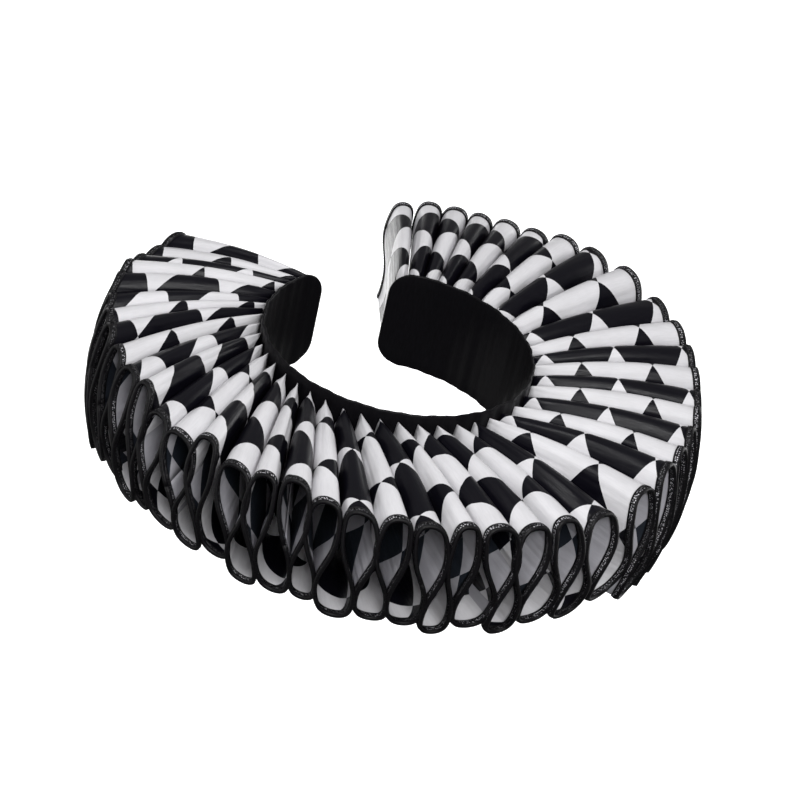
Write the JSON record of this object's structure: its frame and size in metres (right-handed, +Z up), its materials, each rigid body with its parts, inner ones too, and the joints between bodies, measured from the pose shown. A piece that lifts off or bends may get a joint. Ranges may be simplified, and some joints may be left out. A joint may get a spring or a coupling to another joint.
{
  "type": "ruff collar",
  "caption": "Wide costume ruff collar: a harlequin satin strip in figure-eight folds sewn round a black neck band that is open at the back.",
  "frame": {"origin": "middle of the neck band, on the neck's axis, where the wearer's neck holds the collar", "axes": "+Z is up, -Y is the way the wearer faces and +X is the wearer's left; the collar leans forward with the neck, 25 degrees about X, so its back is higher than its front"},
  "size_m": [0.3219, 0.2906, 0.1892],
  "materials": {
    "harlequin_satin": "polyester satin printed with black and white diamonds, black overlocked edge",
    "black_satin": "black satin band",
    "black_thread": "black overlocking thread"
  },
  "bodies": {
    "root": {"neck_band": "black_satin", "ruffle_length_01": "harlequin_satin", "ruffle_length_02": "harlequin_satin", "ruffle_length_03": "harlequin_satin", "ruffle_length_04": "harlequin_satin", "ruffle_length_05": "harlequin_satin", "ruffle_length_06": "harlequin_satin", "ruffle_length_07": "harlequin_satin", "ruffle_length_08": "harlequin_satin", "ruffle_length_09": "harlequin_satin", "ruffle_length_10": "harlequin_satin", "ruffle_length_11": "harlequin_satin"}
  },
  "joints": []
}
